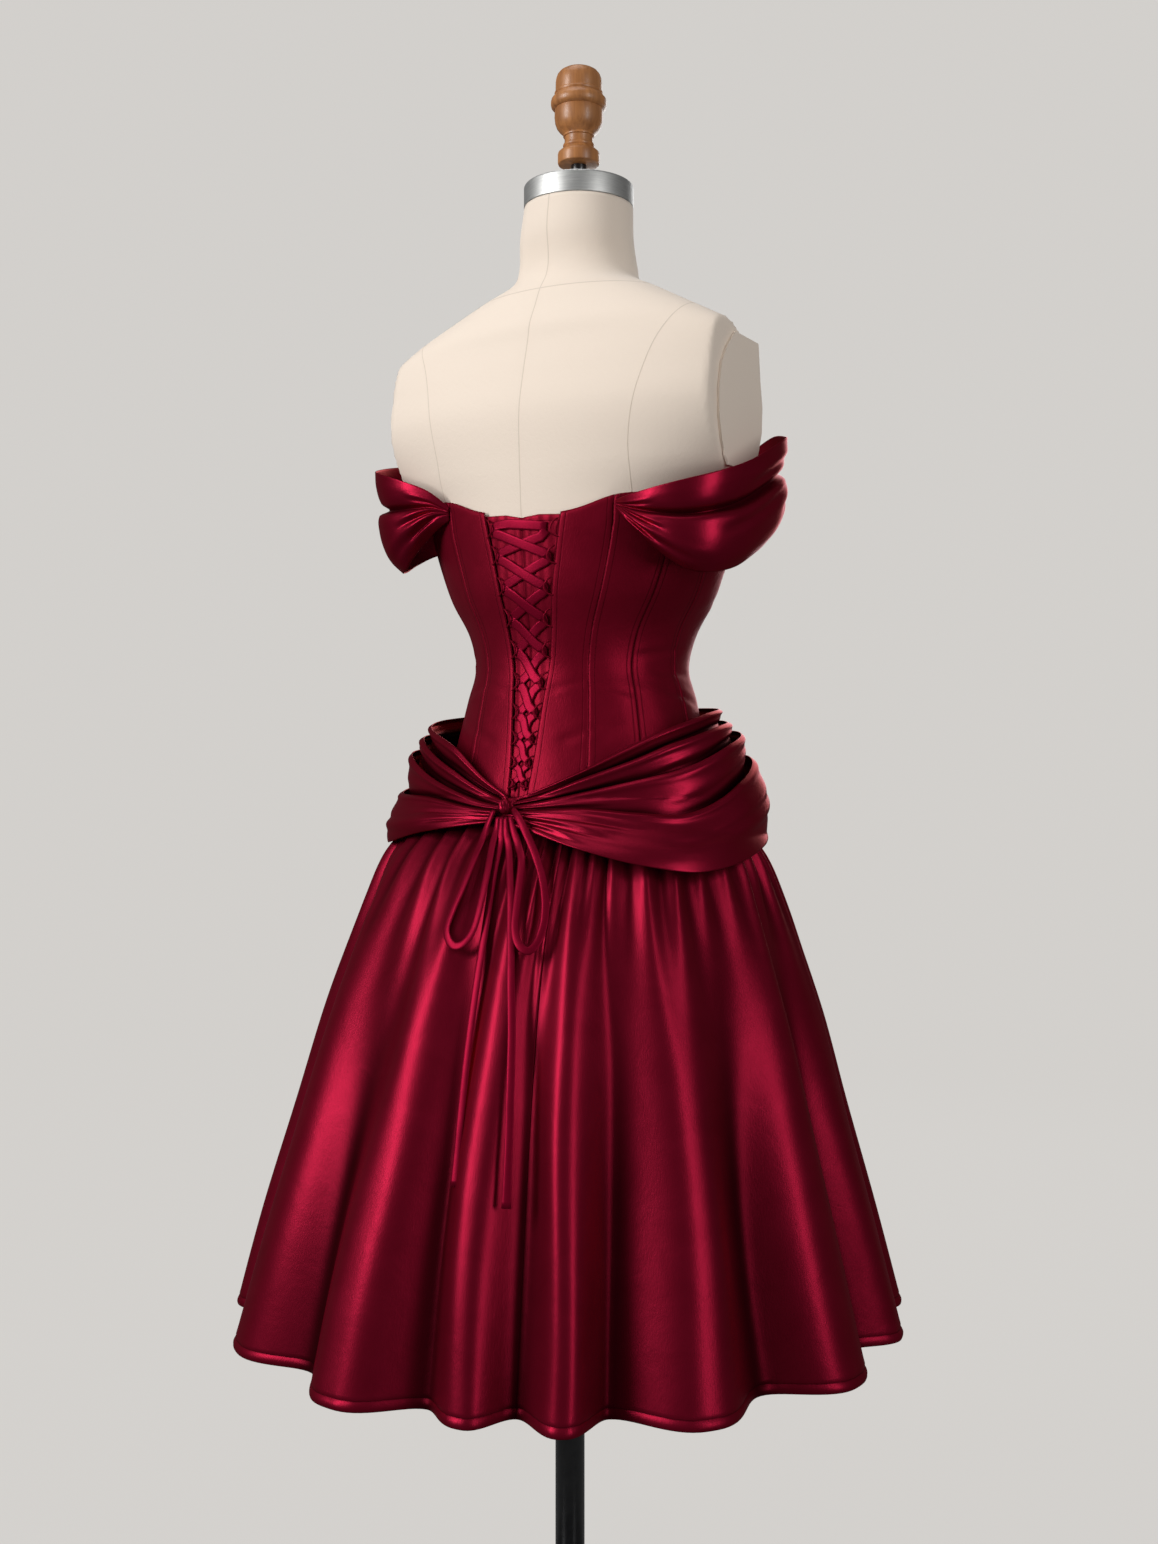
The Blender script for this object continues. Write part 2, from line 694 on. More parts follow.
# Name, light colour, dark colour, roughness, metallic, coat, stretch, scale, bump
HARD = {
    Slot.STEEL: ("brushed steel", (0.66, 0.66, 0.64), (0.52, 0.52, 0.51), 0.5, 1.0, 0.0, (1, 1, 24),
                 60.0, 0.15),
    Slot.WOOD: ("varnished wood", (0.52, 0.215, 0.066), (0.31, 0.115, 0.031), 0.46, 0.0, 0.3,
                (7, 7, 0.6), 18.0, 0.05),
    Slot.ENAMEL: ("black enamel", (0.016, 0.016, 0.017), (0.009, 0.009, 0.01), 0.32, 0.0, 0.4,
                  (1, 1, 1), 90.0, 0.05),
}


@dataclass
class Wardrobe:
    """Every finish of the object, made once."""

    materials: dict[Slot, Material] = field(default_factory=dict)
    plate_cover: Material | None = None
    drape: Material | None = None

    def build(self) -> None:
        """Makes the materials."""
        groups = cloth_group(), line_group()
        self.materials = {slot: SatinFinish(*row).build(*groups) for slot, row in SATINS.items()}
        self.materials[Slot.COVER] = CoverFinish().build(*groups)
        self.materials |= {slot: HardFinish(*row).build() for slot, row in HARD.items()}
        self.drape = SatinFinish(*DRAPED).build(*groups)
        self.plate_cover = CoverFinish(has_seams=False).build(*groups)

    def dress(self, piece: Piece, slot: Slot, *nodes: str,
              material: Material | None = None) -> Piece:
        """Gives a piece its finish, its body and the nodes that it stands for.

        Args:
            piece: The new piece.
            slot: Its finish.
            *nodes: The solids that it stands for.
            material: A variant of the finish, where the piece has its own.

        Returns:
            The same piece.
        """
        piece.data.materials.append(material or self.materials[slot])
        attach(piece, "root")
        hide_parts(*nodes)
        LOG.info("%s: %d faces, %.4f m2", piece.name, len(piece.data.polygons), area_of(piece))
        return piece


@dataclass
class Studio:
    """The camera at the photograph's place, the pale backdrop and the soft lights."""

    camera_place: Place = (-0.858, 1.4676, 0.930)
    camera_turn: float = math.radians(210)
    lens: float = 38.47
    aim: Place = (0, 0, 0.9)
    floor_reach: float = 4.2
    wall_reach: float = 6.2
    wall_height: float = 7.0
    segments: int = 64
    backdrop_colour: Colour = (0.665, 0.645, 0.62)
    lamps: tuple[tuple[str, Place, tuple[float, float], float], ...] = (
        ("key", (1.35, 2.3, 2.0), (0.8, 1.9), 64),
        ("side", (-2.6, 0.9, 1.5), (0.5, 2.2), 26),
        ("front fill", (0.6, -2.8, 1.9), (1.8, 1.8), 32),
        ("top", (0.2, 0.3, 3.4), (1.4, 1.4), 12),
    )

    def place_camera(self) -> None:
        """Makes the camera, level, and makes it the scene's."""
        data = bpy.data.cameras.new("camera")
        data.lens = self.lens
        data.sensor_width = 36.0
        camera = bpy.data.objects.new("camera", data)
        camera.location = self.camera_place
        camera.rotation_euler = (math.pi / 2, 0, self.camera_turn)
        bpy.context.scene.collection.objects.link(camera)
        bpy.context.scene.camera = camera

    def build_backdrop(self) -> None:
        """Makes the floor that sweeps up into a round wall, seen from inside only."""
        bend = self.wall_reach - self.floor_reach
        turns = [math.pi / 2 * step / 12 for step in range(13)]
        profile = [(0.02, 0.0), (1.5, 0.0), (3.0, 0.0)]
        profile += [(self.floor_reach + bend * math.sin(turn), bend * (1 - math.cos(turn)))
                    for turn in turns]
        profile.append((self.wall_reach, self.wall_height))
        points = [(0.0, 0.0, 0.0)]
        for radius, height in profile:
            for step in range(self.segments):
                turn = step * 2 * math.pi / self.segments
                points.append((radius * math.cos(turn), radius * math.sin(turn), height))
        around = [(s, (s + 1) % self.segments) for s in range(self.segments)]
        faces = [(0, 1 + s, 1 + after) for s, after in around]
        for low in range(1, 1 + (len(profile) - 1) * self.segments, self.segments):
            high = low + self.segments
            faces += [(low + s, high + s, high + after, low + after) for s, after in around]
        backdrop = link_mesh("backdrop", np.array(points) / MM, faces)
        backdrop.data.materials.append(self.backdrop_material())
        backdrop.visible_glossy = False
        backdrop.visible_diffuse = False

    def backdrop_material(self) -> Material:
        """Makes the pale backdrop's material, clear from behind."""
        material, sheet = open_material("pale backdrop")
        shader = sheet.add("BsdfPrincipled", Roughness=1.0, Specular_IOR_Level=0.0,
                           Base_Color=(0.02, 0.02, 0.02, 1), Emission_Strength=0.97,
                           Emission_Color=rgba(self.backdrop_colour))
        side = sheet.add("NewGeometry").outputs["Backfacing"]
        mix = sheet.add("MixShader", side, shader.outputs[0], sheet.add("BsdfTransparent").outputs[0])
        sheet.add("OutputMaterial", Surface=mix.outputs[0])
        return material

    def build_lights(self) -> None:
        """Makes the soft boxes, which point at the dress, and the dim surround."""
        for name, place, size, power in self.lamps:
            data = bpy.data.lights.new(name, "AREA")
            data.shape = "RECTANGLE"
            data.size, data.size_y = size
            data.energy = power
            lamp = bpy.data.objects.new(name, data)
            lamp.location = place
            lamp.rotation_euler = (Vector(self.aim) - Vector(place)).to_track_quat("-Z", "Y").to_euler()
            bpy.context.scene.collection.objects.link(lamp)
        world = bpy.data.worlds.new("surround")
        bpy.context.scene.world = world
        world.use_nodes = True
        background = world.node_tree.nodes["Background"].inputs
        background["Color"].default_value = (0.9, 0.9, 0.9, 1)
        background["Strength"].default_value = 0.12
        bpy.context.scene.view_settings.view_transform = "Standard"


@dataclass
class Assembly:
    """A sub-assembly, which takes its finishes from the wardrobe."""

    wardrobe: Wardrobe


# The ribbon's routes, in millimetres, as in the part's source
BOW_ROUTES: dict[str, tuple[Place, ...]] = {
    "bow_loop_left": (
        (3.5, 139, 893), (8.5, 142, 880), (9, 151.5, 864), (8.5, 164, 849.5), (10.5, 182, 821.5),
        (14, 196, 797), (13.5, 204, 782), (4, 208.5, 770.5), (-7, 207.5, 772), (-13.5, 200, 784.5),
        (-14, 188.5, 807.5), (-10.5, 171.5, 836), (-5, 155, 859), (-2.5, 144, 874.5),
        (-1.5, 139.5, 886.5),
    ),
    "bow_loop_right": (
        (-16, 140.5, 887.5), (-22.5, 145.5, 876), (-31.5, 150.5, 861.5), (-42, 161.5, 846),
        (-49.5, 180.5, 814), (-55.5, 195, 788), (-64, 201, 773.5), (-74, 199.5, 768.5),
        (-79.5, 190.5, 779.5), (-78.5, 179, 801.5), (-69.5, 167.5, 828), (-53, 156, 854.5),
        (-37.5, 150.5, 877.5), (-26, 145, 890), (-18.5, 139, 894.8),
    ),
    "bow_tail_left": (
        (-6, 140, 886.3), (-8.5, 145, 874), (-10, 149.5, 861.5), (-14.5, 166.5, 836),
        (-17.5, 177.5, 815), (-20.5, 188, 794), (-22.9, 199, 769), (-25, 209.5, 744.5),
        (-27.5, 223.5, 706), (-30, 235.5, 671), (-31.5, 242, 650), (-33, 248, 629.5),
        (-34.3, 253, 613), (-35.5, 257.5, 596), (-38.5, 267, 565.5),
    ),
    "bow_tail_right": (
        (-11, 140.5, 886.3), (-14.5, 145.5, 874), (-21, 150.5, 858), (-37, 173, 821.5),
        (-43, 182, 804), (-48.5, 191, 786), (-55.5, 201.2, 765), (-62, 211.5, 743.5),
        (-72.5, 227, 698.5), (-80, 240.5, 659.5), (-83.4, 247, 639), (-86.5, 253, 618.5),
        (-88.9, 258, 602), (-91, 262.5, 586), (-95, 271, 554.5),
    ),
}


@dataclass
class Bow(Assembly):
    """The narrow ribbon tied below the sash's knot: two loops and two tails."""

    width: float = 7.5
    height: float = 1.5
    steps: int = 6
    sides: int = 12

    def build(self) -> None:
        for name, route in BOW_ROUTES.items():
            centres = smooth_path(route, self.steps)
            count = len(centres)
            share = np.linspace(0, 1, count)
            outward = unit(centres * [1, 1, 0]) + [0, 0, 0.35]
            side = np.cross(np.gradient(centres, axis=0), outward)
            is_tail = "tail" in name
            from_end = share if is_tail else np.minimum(share, 1 - share)
            ease = np.minimum(from_end * 9, 1)
            flare = 1 + (0.14 * np.clip((share - 0.93) / 0.07, 0, 1) if is_tail else 0)
            width = self.width / 2 * (0.62 + 0.38 * ease) * flare
            wave = 1 + 0.1 * np.sin(share * 21 + (0.8 if "left" in name else 2.2))
            height = self.height / 2 * wave * (1.5 - 0.5 * ease)
            piece = tube(name + "_ribbon", centres, side, width * np.ones(count), height, self.sides)
            self.wardrobe.dress(piece, Slot.RIBBON, name)


@dataclass
class Skirt(Assembly):
    """The gathered, flared skirt, in a front and two back panels."""

    wall: float = 1.0
    columns_per_lobe: int = 30
    lobe_depth: float = 1.55
    lobe_centre: float = 0.86
    valley_power: float = 2.6
    hem_turn: float = 9.0
    gather_share: float = 0.95
    minor_depth: float = 2.6
    second_depth: float = 2.0
    calm_angle: float = 14.0
    calm_width: float = 11.0
    seam_edge: float = 0.0006
    seam_lobes: tuple[int, int, int] = (2, 6, 13)
    cuts: dict[str, Place] = field(default_factory=lambda: {
        "skirt_back_right": (0.66, 0.58, 0.262), "skirt_front": (1.06, 0.58, 0.44),
        "skirt_back_left": (0.92, 0.58, 0.375)})

    def heights(self) -> Grid:
        """Gives the heights of the rows, close together at the hem and at the gathers."""
        hem = HEM_Z + np.array([0, 1.2, 3, 5, 6.8, 8, 9, 10, 11.2, 13, 16, 20, 26])
        body = np.linspace(415, 700, 34)
        gathers = np.linspace(706, SKIRT_TOP, 42)
        return np.concatenate([hem, body, gathers])

    def down(self, z: Grid) -> Grid:
        """Gives how far down heights are, from 0 at the top to 1 at the hem."""
        return (SKIRT_TOP - z) / (SKIRT_TOP - HEM_Z)

    def ripple(self, whole: Grid) -> Grid:
        """Gives the gathers' ripple for angles round the hem."""
        return np.cos(51 * whole + 0.9 * np.sin(5 * whole))

    def surface(self, column: Grid, z: Grid) -> Grid:
        """Finds points of the skirt.

        Args:
            column: Places round the hem, in lobes.
            z: Heights, in millimetres.

        Returns:
            The points.
        """
        count = len(LOBES)
        valleys = np.array([lobe[0] for lobe in LOBES] + [LOBES[0][0] + 360])
        depths = np.array([lobe[1] for lobe in LOBES])
        index = np.floor(column + TINY).astype(int)
        share = np.clip(column - index, 0, 1)
        lobe = np.mod(index, count)
        angle = (index // count) * 360 + valleys[lobe] + (valleys[lobe + 1] - valleys[lobe]) * share
        crest = 1 - np.abs(np.cos(math.pi * share)) ** self.valley_power
        swell = self.lobe_depth * depths[lobe] * crest - self.lobe_centre
        down = self.down(z)
        whole = 2 * math.pi * column / count
        angle = angle + np.sin(math.pi * np.clip(down, 0, 1)) * (
            1.5 * np.sin(5 * whole + 2.6 * down) + 0.8 * np.sin(13 * whole - 4 * down + 1))
        ripple = self.ripple(whole)
        gather = SKIRT.read("gather", z) * self.gather_share * ripple * (1 + 0.35 * np.sin(11 * whole))
        middle = bell(down, 0.32, 0.22)
        merged = np.cos(26 * whole + 1.4 * np.sin(7 * whole) + 0.5)
        calm = 1 - 0.85 * bell(angle, self.calm_angle, self.calm_width)
        minor = calm * middle * self.minor_depth * merged * (0.7 + 0.5 * np.sin(9 * whole + 1))
        low = np.clip((down - 0.3) / 0.7, 0, 1)
        second = np.cos(2 * math.pi * (1.3 * share + 0.17 * index)) * (0.7 + 0.5 * np.sin(4 * whole))
        second = calm * low * self.second_depth * crest * second
        fine = bell(down, 0.09, 0.08) * 1.1 * np.cos(102 * whole + 1)
        uneven = 1 + 0.16 * np.sin(6 * whole + 5 * down) * (1 - down)
        rise = SKIRT.read("lobe", z) * swell * uneven + gather + minor + second + fine
        above = z - HEM_Z
        stitch = bell(above, self.hem_turn, 1.3)
        pucker = bell(above, self.hem_turn, 5.5) * np.sin(column * 2 * math.pi * 11)
        roll = 0.7 * bell(above, 4.5, 3.2) - 0.9 * bell(above, 0, 1.1)
        rise = rise - 0.75 * stitch + 0.28 * pucker * (1 + 0.6 * np.sin(column * 9.7)) + roll
        turn = np.radians(angle)
        depth = SKIRT.depth(np.cos(turn) > 0, z) + rise
        half = SKIRT.read("half", z) + rise
        return np.stack([-half * np.sin(turn), depth * np.cos(turn), z + 0 * turn], -1)

    def shade(self, column: Grid, z: Grid) -> Grid:
        """Gives how open the cloth lies: 1 on a lobe, less in a valley or between two gathers.

        Args:
            column: Places round the hem, in lobes.
            z: Heights, in millimetres.

        Returns:
            The openness.
        """
        down = self.down(z)
        share = column - np.floor(column + TINY)
        from_valley = np.minimum(share, 1 - share)
        valley = bell(from_valley, 0, 0.12) * np.clip((down - 0.2) / 0.45, 0, 1)
        whole = 2 * math.pi * column / len(LOBES)
        between = np.clip(-self.ripple(whole), 0, 1) * SKIRT.read("gather", z) / 3.6
        return np.clip(1 - 0.85 * valley - 0.6 * between, DARKEST, 1)

    def panel(self, name: str, first: int, last: int) -> None:
        """Args:
            name: The solid that it stands for.
            first: The lobe where it starts.
            last: The lobe where it ends.
        """
        count = (last - first) * self.columns_per_lobe + 1
        column = np.linspace(first + self.seam_edge, last - self.seam_edge, count)
        places, z = lattice(column, self.heights())
        grid = self.surface(places, z)
        blank = np.full(z.shape, NO_SEAM)
        stitching = np.stack([z - HEM_Z - self.hem_turn, blank, blank], -1)
        marks = {"stitching": stitching, "fold_shade": self.shade(places, z)}
        piece = Cloth(name + "_satin", grid, self.wall, marks=marks).build()
        self.wardrobe.dress(piece, Slot.SKIRT, name)
        hem = float(travelled(grid[:, 0])[-1]) * MM
        LOG.info("%s: hem %.3f m", name, hem)

    def build(self) -> None:
        """Makes the three panels."""
        back, right, left = self.seam_lobes
        self.panel("skirt_back_right", back, right)
        self.panel("skirt_front", right, left)
        self.panel("skirt_back_left", left, len(LOBES) + back)


@dataclass
class Bodice(Assembly):
    """The boned bodice: nine panels, and the piece behind its open back."""

    inner: float = 3.4
    wall: float = 2.0
    shell: float = 1.0
    channel: float = 6.5
    seam_sink: float = 0.35
    bone_rise: float = 0.1
    front_sink: float = 0.6
    left_lift: float = 8.0
    left_lift_angle: float = 26.0
    modesty_top: float = 1182.0
    overlap: float = 14.0
    seams: tuple[Place, ...] = ((28, 31, 34), (52, 54, 58), (86, 84, 79), (155, 157, 150))
    cuts: dict[str, Place] = field(default_factory=lambda: {
        "back": (0.06, 0.285, 0.0155), "side_back": (0.075, 0.30, 0.017), "side": (0.08, 0.30, 0.0185),
        "side_front": (0.19, 0.33, 0.051)})
    creases: Creases = (
        (62, 1046, 104, 1058, 0.9, 3.4), (70, 1030, 112, 1026, 0.8, 3.0),
        (76, 1010, 108, 996, 0.9, 3.6), (34, 1016, 58, 1004, 0.7, 3.2),
        (14, 1012, 34, 1022, 0.6, 3.0), (20, 962, 44, 984, 0.7, 3.6),
        (96, 1090, 120, 1112, 0.7, 4.0), (104, 1150, 128, 1138, 0.8, 4.4),
    )

    def seam(self, number: int, z: Grid) -> Grid:
        """Gives the angle of a seam at heights, on the wearer's right."""
        bottom, waist, top = self.seams[number]
        low = bottom + (waist - bottom) * (z - BODICE_BOTTOM) / (WAIST_Z - BODICE_BOTTOM)
        high = waist + (top - waist) * np.minimum((z - WAIST_Z) / 136, 1)
        return np.where(z < WAIST_Z, low, high)

    def back_edge(self, z: Grid) -> Grid:
        """Gives the angle of the open back's edge at heights."""
        half = FIGURE.read("half", z) + self.inner
        return np.degrees(np.arcsin(BACK_EDGE.read("across", z) / half))

    def panel(self, name: str, limits: tuple[Callable[[Grid], Grid], Callable[[Grid], Grid]], sign: int,
              cut: Place) -> None:
        """Args:
            name: The solid that it stands for.
            limits: The angles of its two seams, as functions of the height.
            sign: 1 on the wearer's right, -1 on the left.
            cut: The width, length and area that it is cut to, in metres.
        """
        is_front = name == "bodice_centre_front"
        columns, rows = (60, 96) if is_front or "side_front" in name else (34, 96)
        share, level = lattice(np.linspace(0, 1, columns + 1), np.linspace(0, 1, rows + 1))
        waist = np.full_like(share, WAIST_Z)
        rough = limits[0](waist) * (1 - share) + limits[1](waist) * share
        top = BODICE_TOP.read("z", from_back(rough))
        if sign < 0:
            top = top + self.left_lift * bell(rough, self.left_lift_angle, self.left_lift_angle)
        bottom = BODICE_BOTTOM + SEAM_GAP
        z = bottom + (top - bottom) * level
        around = FIGURE.read("half", z) * 0.5 + FIGURE.read("back", z) * 0.5
        millimetres = np.radians(1) * around
        gap = SEAM_GAP / 2 / millimetres
        start, end = limits[0](z) + gap, limits[1](z) - gap
        angle = start + (end - start) * share
        from_start, from_end = (angle - start) * millimetres, (end - angle) * millimetres
        nearest = np.minimum(from_start, from_end)
        out = self.inner + self.wall - (self.front_sink if is_front else 0)
        sunk = self.seam_sink * bell(nearest, 0, 1.0)
        bone = self.bone_rise * bell(nearest, self.channel / 2, 2.1)
        wrinkle = pressed(self.creases, from_back(angle), z)
        wave = 0.35 * np.sin(z * 0.045 + angle * 0.11) * np.sin(angle * 0.19 + 1.1)
        edge = 0.8 * bell(top - z, 0, 2)
        grid = figure_point(sign * angle, z, out - sunk + bone + wrinkle + wave - edge)
        faint = np.clip((z - 930) / 60, 0, 1) * 1.2
        stitching = np.stack([from_start - 0.3, from_end - 0.3, nearest - self.channel + faint], -1)
        piece = Cloth(name + "_satin", grid, self.shell, marks={"stitching": stitching}).build()
        self.wardrobe.dress(piece, Slot.DRESS, name)

    def modesty(self) -> None:
        """Makes the piece behind the lacing."""
        bottom = BODICE_BOTTOM - 1.5
        share, level = lattice(np.linspace(-1, 1, 61), np.linspace(0, 1, 91))
        top = self.modesty_top + 2.5 * share - 3 * np.maximum(1 - np.abs(share) * 3, 0)
        z = bottom + (top - bottom) * level
        across = share * (BACK_EDGE.read("across", z) + self.overlap)
        ripple = 0.3 * np.sin(across * 0.55 + 2.2 * np.sin(z * 0.021))
        ripple = ripple * np.clip(1.2 - np.abs(share), 0, 1)
        grid = back_point(across, z, 2.6 + ripple - 0.7 * bell(across, 0, 0.9))
        seam = np.stack([across, np.full(z.shape, NO_SEAM), top - z - 6], -1)
        piece = Cloth("modesty_satin", grid, 0.9, marks={"stitching": seam}).build()
        self.wardrobe.dress(piece, Slot.DRESS, "modesty_panel")

    def build(self) -> None:
        """Makes the nine panels and the piece behind the lacing."""
        limits = [self.back_edge] + [
            (lambda z, number=number: self.seam(number, z)) for number in range(len(self.seams))]
        for side, sign in (("left", -1), ("right", 1)):
            for number, (piece, cut) in enumerate(self.cuts.items()):
                self.panel(f"bodice_{piece}_{side}", (limits[number], limits[number + 1]), sign, cut)
        front = limits[-1]
        self.panel("bodice_centre_front", (front, lambda z: 360 - front(z)), 1, (0.17, 0.35, 0.047))
        self.modesty()


@dataclass
class Lacing(Assembly):
    """The criss-crossed ribbon over the open back, and the loops that it runs through."""

    heights: tuple[float, ...] = (1169.5, 1143, 1112, 1081, 1050, 1018, 988, 962, 938.5, 918)
    right_drop: float = 4.0
    bar_drop: float = 5.0
    width: float = 9.0
    thickness: float = 0.8
    turn: float = 4.6
    first_height: float = 4.0
    second_height: float = 5.4
    loop_room: float = 3.5
    least_across: float = 2.2
    narrowest: float = 0.6
    loop_shape: tuple[Place, ...] = (
        (-1.2, 10.5, 4.9), (0.6, 10, 5.8), (3.0, 7.5, 7.2), (5.4, 3.6, 7.7), (6.2, 0, 7.7),
        (5.4, -3, 7.7), (3.0, -5.2, 7.2), (0.6, -6.3, 5.8), (-1.2, -6.8, 4.9),
    )

    def edge(self, z: float) -> float:
        """Gives how far a back edge is from the centre line."""
        return float(BACK_EDGE.read("across", np.array(z)))

    def loop_z(self, index: int, sign: int) -> float:
        """Gives the height of a loop, which hangs a little lower on the wearer's right."""
        z = self.heights[index]
        return z if sign > 0 else z - self.right_drop * min(max((z - 1000) / 170, 0), 1)

    def route(self, first_sign: int, with_bar: bool) -> Grid:
        """Works out a lace's way from loop to loop.

        Args:
            first_sign: The side of its first turn.
            with_bar: Whether it starts with the straight bar at the top.

        Returns:
            Places as distances across and heights.
        """
        turns = []
        for index in range(len(self.heights)):
            sign = first_sign if index % 2 == 0 else -first_sign
            z = self.loop_z(index, sign)
            inset = self.turn + self.width / 2 + self.loop_room
            turns.append((sign, sign * max(self.edge(z) - inset, self.least_across), z))
        _, across, z = turns[0]
        points: list[tuple[float, float]] = [(across, z)]
        if with_bar:
            points = [(-across * share, z + self.turn - self.bar_drop * (share + 0.5) / 1.5)
                      for share in (1, 0.75, 0.5, 0.25, 0, -0.5)]
        for index, (sign, across, z) in enumerate(turns):
            if with_bar or index > 0:
                bends = np.radians([62, 40, 20, 0, -20, -40, -62])
                points += [(across + sign * self.turn * math.cos(bend), z + self.turn * math.sin(bend))
                           for bend in bends]
            if index < len(turns) - 1:
                _, next_across, next_z = turns[index + 1]
                high, low = z - self.turn, next_z + self.turn
                points += [(across + (next_across - across) * share, high + (low - high) * share)
                           for share in (0.12, 0.25, 0.38, 0.5, 0.62, 0.75, 0.88)]
        return np.array(points)

    def ribbon(self, name: str, route: Grid) -> None:
        """Makes one lace, which passes over the other where it runs down to the wearer's right.

        Args:
            name: The solid that it stands for.
            route: Places as distances across and heights.
        """
        run = unit(np.gradient(route, axis=0))
        share = np.linspace(-0.5, 0.5, 7)
        rise = (route[:, 1, None] - self.heights[-1]) / 200
        side = share * self.width * np.clip(self.narrowest + rise, self.narrowest, 1)
        across = route[:, None, 0] - run[:, None, 1] * side
        z = route[:, None, 1] + run[:, None, 0] * side
        crown = 0.08 * np.cos(share * math.pi)[None]
        over = np.clip(0.5 - 2.5 * run[:, :1], 0, 1)
        height = self.first_height + (self.second_height - self.first_height) * over
        grid = back_point(across, z, height + self.thickness - 0.2 + crown)
        piece = Cloth(name + "_ribbon", grid, self.thickness).build()
        self.wardrobe.dress(piece, Slot.RIBBON, name)

    def loop(self, side: str, sign: int, index: int) -> None:
        """Makes one fabric loop that stands out from a back edge."""
        z = self.loop_z(index, sign)
        size = min(1.0, 0.55 + (z - self.heights[-1]) / 200)
        points = [back_point(np.array(sign * (self.edge(z) - reach)), np.array(z + rise * size), out)
                  for reach, rise, out in self.loop_shape]
        centres = smooth_path(points, 4)
        up = np.tile([0.0, 0.0, 1.0], (len(centres), 1)) + [[0.2, 0.4, 0]]
        ones = np.ones(len(centres))
        piece = tube(f"loop_{side}_{index + 1}_satin", centres, up, 0.95 * ones, 0.8 * ones, 8)
        self.wardrobe.dress(piece, Slot.DRESS, f"lace_loop_{side}_{index + 1}")

    def build(self) -> None:
        """Makes both laces and every loop."""
        self.ribbon("lace_first", self.route(1, True))
        self.ribbon("lace_second", self.route(-1, False))
        for side, sign in (("left", 1), ("right", -1)):
            for index in range(len(self.heights)):
                self.loop(side, sign, index)


